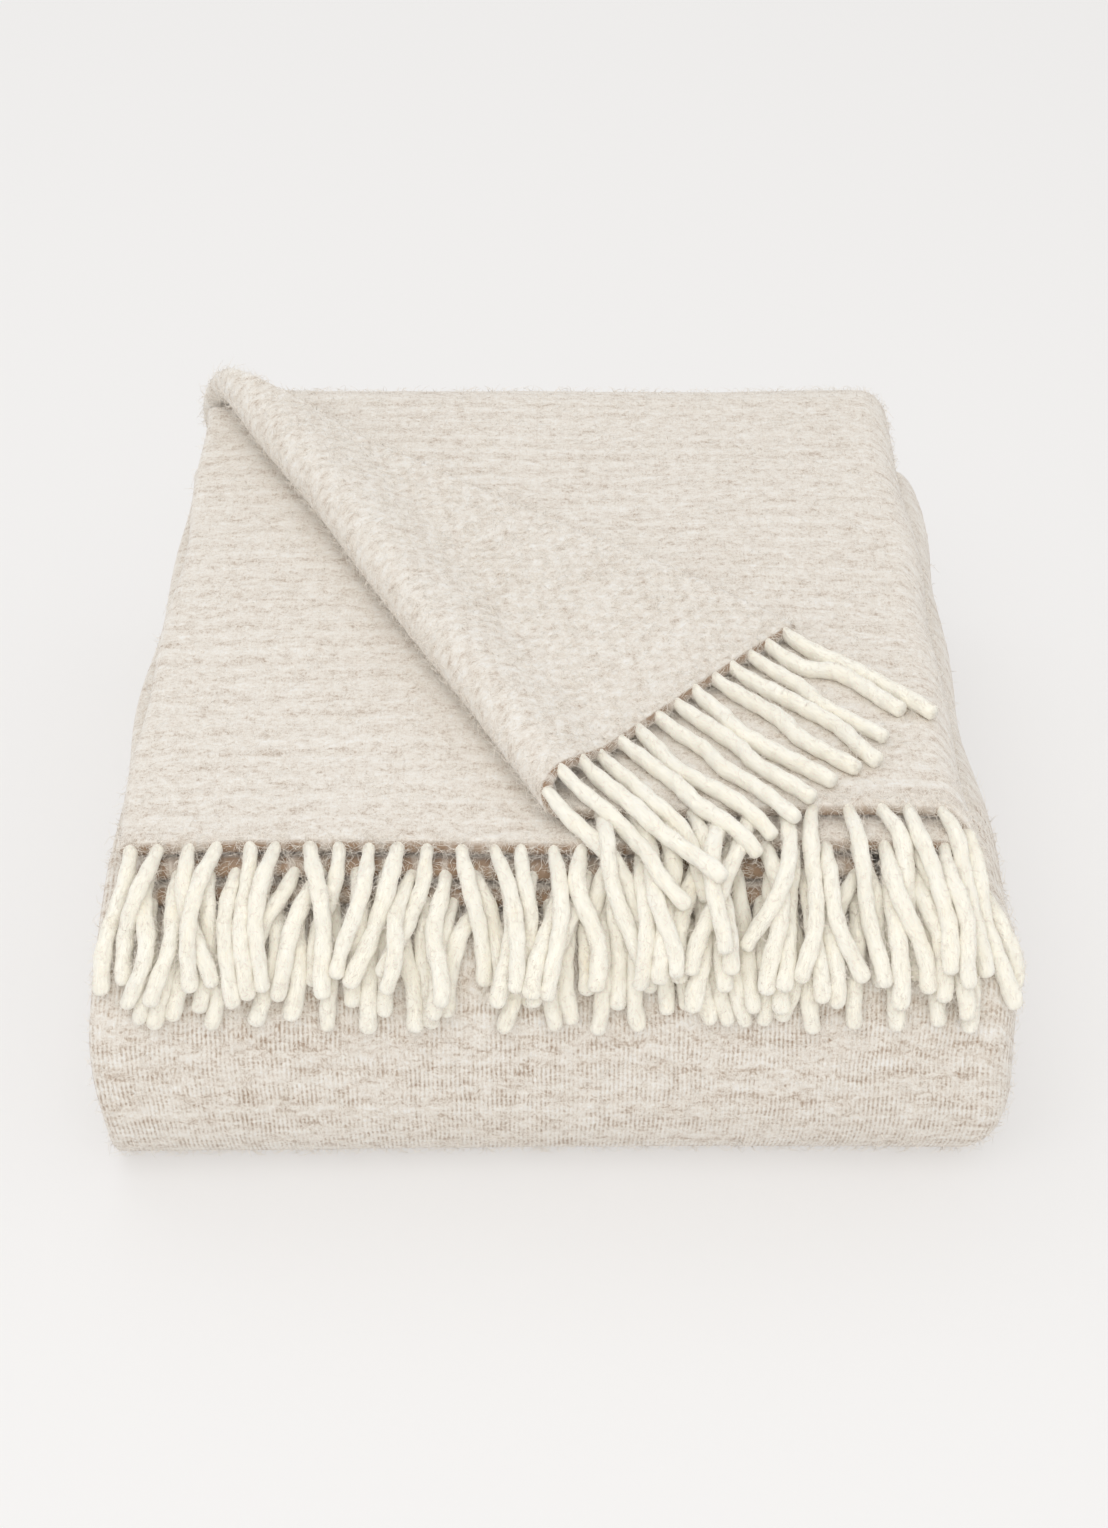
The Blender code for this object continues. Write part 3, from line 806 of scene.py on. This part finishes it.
def cloth_material(name, ticks=0.3, bands=0.45, contrast=1.0, painted_shade=0.0, hem_depth=0.0012,
                   hem_under=0.0090):
    """Brushed melange wool: weft streaks and flecks, with ticked bands on the face of the cloth
    and rows of pale dots on its reverse."""
    made, tree, shader = material_base(name)
    web = add(tree, "UVMap", uv_map="web").outputs["UV"]
    across = add(tree, "SeparateXYZ", {0: web})
    reverse = calc(tree, "LESS_THAN", across.outputs[1], 0.0)
    face = calc(tree, "MULTIPLY_ADD", reverse, -0.7, 1.0)
    streak = noise(tree, web, (24, 200), 3.0, 0.6, 0.6)
    blotch = noise(tree, web, (150, 260), 3.0, 0.6, 0.5, 3.1)
    fleck = noise(tree, web, (520, 640), 4.0, 0.7, 0.9, 7.7)
    fibre = noise(tree, web, (1500, 420), 2.0, 0.6, 2.5, 1.9)
    wander = calc(tree, "MULTIPLY", noise(tree, web, (45, 60), 3.0), 7.0)
    tick = calc(tree, "SINE",
                calc(tree, "MULTIPLY_ADD", across.outputs[0], 2 * pi / TICK_PITCH, wander))
    band = calc(tree, "SINE", calc(tree, "MULTIPLY_ADD", across.outputs[1], 2 * pi / BAND_PITCH,
                                   calc(tree, "MULTIPLY", wander, 0.35)))
    # Lowering the base of the mix darkens and warms the whole cloth: painted shade, for the front
    # of the roll.
    mix = about(tree, streak, 0.30 * contrast, 0.515 - 0.035 * painted_shade)
    mix = about(tree, blotch, 0.58 * contrast, mix)
    mix = about(tree, fleck, 0.85 * contrast, mix)
    mix = about(tree, fibre, 0.55 * contrast, mix)
    mix = calc(tree, "MULTIPLY_ADD", reverse, 0.045, mix)
    broken = calc(tree, "MULTIPLY", band, calc(tree, "MULTIPLY_ADD", streak, 1.2, 0.1))
    broken = calc(tree, "MULTIPLY", broken, face)
    mix = calc(tree, "MULTIPLY_ADD", broken, 0.11 * bands, mix)
    patchy = noise(tree, web, (75, 130), 3.0, 0.6, 0.8, 5.3)
    lit = add(tree, "MapRange", {"Value": patchy, "From Min": 0.36, "From Max": 0.62})
    ticked = calc(tree, "MULTIPLY", calc(tree, "MULTIPLY", tick, lit.outputs[0]), 0.085 * ticks)
    ticked = calc(tree, "MULTIPLY", ticked, face)
    mix = calc(tree, "ADD", mix, ticked)
    # The reverse: rows of pale dots, each row set half a step on.
    a = calc(tree, "MULTIPLY_ADD", across.outputs[0], 2 * pi / DOT_PITCH[0], wander)
    b = calc(tree, "MULTIPLY", across.outputs[1], 2 * pi / DOT_PITCH[1])
    dot = calc(tree, "MULTIPLY", calc(tree, "SINE", a), calc(tree, "SINE", b))
    mix = calc(tree, "MULTIPLY_ADD", calc(tree, "MULTIPLY", dot, reverse), 0.09, mix)
    colour = ramp(tree, mix, (0.14, BROWN), (0.30, TAUPE), (0.44, OAT), (0.60, CREAM), (0.84, PALE))
    # The hem, where the brown weft shows between the roots of the strands, darkened further as
    # painted shade of the gaps under the ply's edge.
    edge = add(tree, "MapRange", {"Value": across.outputs[1], "From Min": hem_depth,
                                  "From Max": hem_depth - 0.0016})
    under = add(tree, "MapRange", {"Value": across.outputs[1], "From Min": -hem_under,
                                   "From Max": -0.6 * hem_under})
    patch = add(tree, "MapRange", {"Value": noise(tree, web, (150, 40), 3.0, 0.6, 0.4, 9.0),
                                   "From Min": 0.34, "From Max": 0.52})
    hem = calc(tree, "MULTIPLY", calc(tree, "MULTIPLY", edge.outputs[0], under.outputs[0]),
               calc(tree, "MULTIPLY_ADD", patch.outputs[0], 0.62, 0.30))
    blend = add(tree, "MixRGB", {"Fac": hem, "Color1": colour, "Color2": (*HEM_WEFT_AND_SHADE, 1.0)})
    tree.links.new(blend.outputs[0], shader.inputs["Base Color"])
    height = calc(tree, "MULTIPLY_ADD", fleck, 1.0, calc(tree, "MULTIPLY", fibre, 0.8))
    height = calc(tree, "MULTIPLY_ADD", blotch, 1.2, height)
    height = calc(tree, "MULTIPLY_ADD", ticked, 2.0, height)
    bump = add(tree, "Bump", {"Height": height, "Strength": 0.55, "Distance": 0.0006})
    tree.links.new(bump.outputs[0], shader.inputs["Normal"])
    tree.links.new(calc(tree, "MULTIPLY_ADD", fleck, 0.15, 0.85), shader.inputs["Roughness"])
    set_inputs(shader, {"Sheen Weight": 0.35, "Sheen Roughness": 0.6, "Specular IOR Level": 0.15})
    return made


def strand_material(name):
    """Felted cream wool, twisted: faint fibres along the strand and a little warm shade."""
    made, tree, shader = material_base(name)
    web = add(tree, "UVMap", uv_map="web").outputs["UV"]
    fibre = noise(tree, web, (1900, 420), 3.0, 0.65, 1.5)
    cloud = noise(tree, web, (160, 90), 2.0, 0.5, 0.3, 4.0)
    mix = about(tree, fibre, 0.8, 0.5)
    mix = about(tree, cloud, 0.6, mix)
    colour = ramp(tree, mix, (0.15, (0.94, 0.855, 0.665)), (0.40, (0.985, 0.940, 0.805)),
                  (0.72, (0.995, 0.970, 0.870)))
    tree.links.new(colour, shader.inputs["Base Color"])
    bump = add(tree, "Bump", {"Height": fibre, "Strength": 0.8, "Distance": 0.0008})
    tree.links.new(bump.outputs[0], shader.inputs["Normal"])
    tree.links.new(calc(tree, "MULTIPLY_ADD", fibre, 0.15, 0.80), shader.inputs["Roughness"])
    set_inputs(shader, {"Sheen Weight": 0.70, "Sheen Roughness": 0.6, "Specular IOR Level": 0.15})
    # A faint glow in place of light soaking through soft yarn, sized to match the photograph.
    set_inputs(shader, {"Emission Color": (1.0, 0.90, 0.74, 1.0), "Emission Strength": 0.055})
    return made


# ---------------------------------------------------------------- the throw

FACE = cloth_material("wool_face")
CORNER_FACE = cloth_material("wool_corner", hem_under=0.0014)
# The lower plies' hems run deeper: painted shade under the plies above them.
SECOND_FACE = cloth_material("wool_second", hem_depth=0.0020)
LOWER_FACE = cloth_material("wool_lower", hem_depth=0.0052)
# The front of the roll: the same cloth, darker and warmer as painted shade, with stronger ticks and
# contrast.
FRONT = cloth_material("wool_front", ticks=1.8, bands=0.35, contrast=1.15, painted_shade=0.85)
YARN = strand_material("fringe_wool")

# Where the sheets of the roll meet, and where the lower plies start across the web.
PAST_HINGE, BEFORE_FRONT, PAST_FRONT = 0.015, 0.055, 0.060
TOP_END = START["base"] + PAST_HINGE
FRONT_FROM, FRONT_TO = START["front"] - BEFORE_FRONT, START["upper"] + PAST_FRONT
SECOND_U, LOWER_U = 0.9, 0.35

HAIR, _, hair_shader = material_base("loose_fibres")
set_inputs(hair_shader, {"Base Color": (0.93, 0.87, 0.79, 1.0), "Roughness": 0.9,
                         "Specular IOR Level": 0.1, "Sheen Weight": 0.3})

ROOT, TOP, CORNER = "folded_roll", "top_panel", "turned_corner"


def declare(nodes):
    """Hides the CAD nodes that a sheet of the throw stands for."""
    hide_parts(*nodes)


leaf = top_leaf(FACE, TOP_END)
second = top_piece("second_leaf_cloth", "second", TOP_END, SECOND_FACE,
                   u_start=SECOND_U)
lower = top_piece("lower_leaves_cloth", "third", TOP_END, LOWER_FACE, COARSE, LOWER_U)
flap = corner_flap(CORNER_FACE)
wrap = roll_piece("front_wrap", "outer", FRONT_FROM, FRONT_TO, FRONT)
base_wrap = roll_piece("base_wrap", "outer", TOP_END - 2 * RIM, FRONT_FROM + 2 * RIM, FACE, COARSE)
inner_wrap = roll_piece("inner_wrap", "outer", FRONT_TO - 2 * RIM, START["end"], FACE, COARSE)
second_roll = roll_piece("second_ply_roll", "second", TOP_END - 2 * RIM, START["end"], FACE,
                         COARSE, SECOND_U)
third_roll = roll_piece("lower_plies_roll", "third", TOP_END - 2 * RIM, START["end"], FACE,
                        COARSE, LOWER_U)

for piece in (leaf, second, lower):
    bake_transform(piece)
for piece in (wrap, base_wrap, inner_wrap, second_roll, third_roll):
    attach(piece, ROOT)
lip = place(np.array(CREASE_X), np.array(0.0), np.array(HEIGHTS[0]))
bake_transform(flap)

declare(("top_leaf", "right_outer_fold", "rear_fold_upper"))
declare(("second_leaf", "right_inner_fold"))
declare(("third_leaf", "fourth_leaf", "left_fold"))
declare(("corner_flap", "flap_crease"))
declare(("front_outer_fold",))
declare(("base_panel", "rear_fold_lower"))
declare(("upper_panel", "rear_inner_fold"))
declare(("lower_panel",))
declare(("core_panel", "front_inner_fold"))

# Loose fibres on the cloth that shows.
for source, body, count, hem_share in (
    (leaf, "blend", 26000, 0.07), (flap, "flap", 18000, 0.05), (wrap, ROOT, 20000, 0.0),
    (second, "blend", 18000, 0.14), (lower, "blend", 12000, 0.25), (base_wrap, ROOT, 8000, 0.0),
    (inner_wrap, ROOT, 6000, 0.0),
):
    nap = fuzz(source.name + "_nap", source, count, CLOTH_NAP, HAIR, len(source.name),
               hem_share)
    if body == "blend":
        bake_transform(nap)
    elif body == "flap":
        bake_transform(nap)
    else:
        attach(nap, body)

# The visible fringe: four rows along the plies' front edges, and the turned-back corner's.
rows, owners, lengths = [], [], []
for row in range(4):
    x, h = row_roots(row)
    keep = x > CREASE_X + 0.002 if row == 0 else np.ones(len(x), bool)
    length = ROW_LENGTHS[row] * RANDOM.uniform(0.94, 1.05, int(keep.sum()))
    rows.append(straight_strands(x[keep], h[keep], length))
    owners.append(np.full(len(length), row))
    lengths.append(length)
flap_x = LEFT + (np.arange(STRANDS) + 0.5) * PITCH
flap_x = flap_x[flap_x < CREASE_X - 0.002]
length = ROW_LENGTHS[4] * RANDOM.uniform(0.95, 1.04, len(flap_x))
rows.append(place(*turned(flap_x[:, None], -outward(length))))
owners.append(np.full(len(length), 4))
lengths.append(length)
straight, owners, lengths = np.concatenate(rows), np.concatenate(owners), np.concatenate(lengths)

# How each strand leans and winds, before it falls: waves shared by neighbours and its own draw.
# At both sides the lean is limited, so that the outermost strands stay near the roll.
root_x = straight[:, 0, 0]
total = len(straight)
lean = 0.20 * np.sin(62 * root_x + 1.7 * owners) + 0.14 * np.sin(131 * root_x - 2.1 * owners + 1)
lean += RANDOM.normal(0.0, 0.12, total) - 0.10 * smooth((0.03 - root_x) / 0.06)
lean = np.where(root_x < -0.125, np.clip(lean, -0.12, 0.10) - 0.04, lean)
lean = np.where(root_x > 0.110, np.clip(lean, -0.06, 0.12) + 0.12, lean)
lean[owners == 4] = RANDOM.normal(-0.13, 0.05, np.sum(owners == 4))
turns = RANDOM.uniform(0.6, 1.5, (total, 1))
phase = RANDOM.uniform(0, 2 * pi, (total, 1))
size = RANDOM.uniform(0.08, 0.38, (total, 1))
size[owners == 4] *= 0.5
slope = lean[:, None] + size * np.sin(2 * pi * turns * np.arange(LINKS) / LINKS + phase)
hung = hang(straight, slope, lengths, FALL_STEPS)

FRINGES = {
    "top_leaf_fringe": [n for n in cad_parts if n.startswith("top_leaf_strand")],
    "second_leaf_strands": ["second_leaf_fringe"],
    "third_leaf_strands": ["third_leaf_fringe"],
    "fourth_leaf_strands": ["fourth_leaf_fringe"],
    "flap_fringe": [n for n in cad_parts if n.startswith("flap_strand")],
}
for owner, (name, nodes) in enumerate(FRINGES.items()):
    mine = owners == owner
    piece = fringe(name, hung[mine], lengths[mine], YARN, seed=owner + 11)
    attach(piece, CORNER if owner == 4 else TOP)
    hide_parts(*nodes)
    nap = fuzz(name + "_nap", piece, FIBRES_PER_STRAND * int(mine.sum()), STRAND_NAP, HAIR,
               50 + owner)
    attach(nap, CORNER if owner == 4 else TOP)

# The fringe of the web's other end, which lies level inside the roll.
for row in range(4):
    x, h = row_roots(row)
    length = np.full(len(x), INNER_LENGTH)
    line = place(x[:, None], START["end"], h[:, None] + np.zeros((1, LINKS)))
    line[:, :, 1] += outward(length)
    line[:, :, 0] += 0.0012 * np.sin(np.arange(LINKS)[None, :] * 0.5 + x[:, None] * 900)
    piece = fringe(f"inner_fringe_row_{row + 1}", line, length, YARN, 8, 0.004, 30 + row)
    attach(piece, ROOT)
    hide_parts(f"inner_fringe_{row + 1}")

# ---------------------------------------------------------------- floor, light and camera

# The floor glows a little, to come near the photograph's shadowless white. Fitted, not measured.
floor_material, _, floor_shader = material_base("pale_floor")
set_inputs(floor_shader, {"Base Color": (0.43, 0.425, 0.42, 1.0), "Roughness": 0.9,
                          "Emission Color": (1.0, 0.985, 0.975, 1.0), "Emission Strength": 0.44,
                          "Specular IOR Level": 0.1})
floor = bpy.data.meshes.new("floor")
floor.from_pydata([(-40, -40, 0), (40, -40, 0), (40, 40, 0), (-40, 40, 0)], [], [(0, 1, 2, 3)])
floor.materials.append(floor_material)
floor_object = put("floor", floor)

world = bpy.data.worlds.new("studio")
world.use_nodes = True
set_inputs(world.node_tree.nodes["Background"],
           {"Color": (1.0, 0.995, 0.99, 1.0), "Strength": 0.79})
bpy.context.scene.world = world


def softbox(name, location, target, size, power):
    """A square area light that faces a target."""
    light = bpy.data.lights.new(name, "AREA")
    light.shape = "SQUARE"
    light.size = size
    light.energy = power
    obj = put(name, light)
    obj.location = location
    obj.rotation_mode = "QUATERNION"
    obj.rotation_quaternion = (Vector(target) - Vector(location)).to_track_quat("-Z", "Y")


softbox("overhead", (-0.5, 0.7, 1.9), (0, 0, 0.05), 1.4, 4)
softbox("high_front", (-0.35, -1.25, 1.85), (0, 0, 0.05), 1.6, 11)
softbox("front_fill", (0.25, -1.45, 0.85), (0, -0.1, 0.08), 1.2, 3.5)

# The camera of the fit to the photograph's outline.
camera_data = bpy.data.cameras.new("camera")
camera_data.lens = 66.97
camera_data.sensor_width = 36
camera_data.clip_end = 200
camera = put("camera", camera_data)
camera.location = (-0.0005, -0.9513, 0.6875)
camera.rotation_euler = (radians(90 - 33.76), 0.0, radians(-0.2))
bpy.context.scene.camera = camera
bpy.context.scene.view_settings.view_transform = "Standard"

bpy.context.view_layer.update()
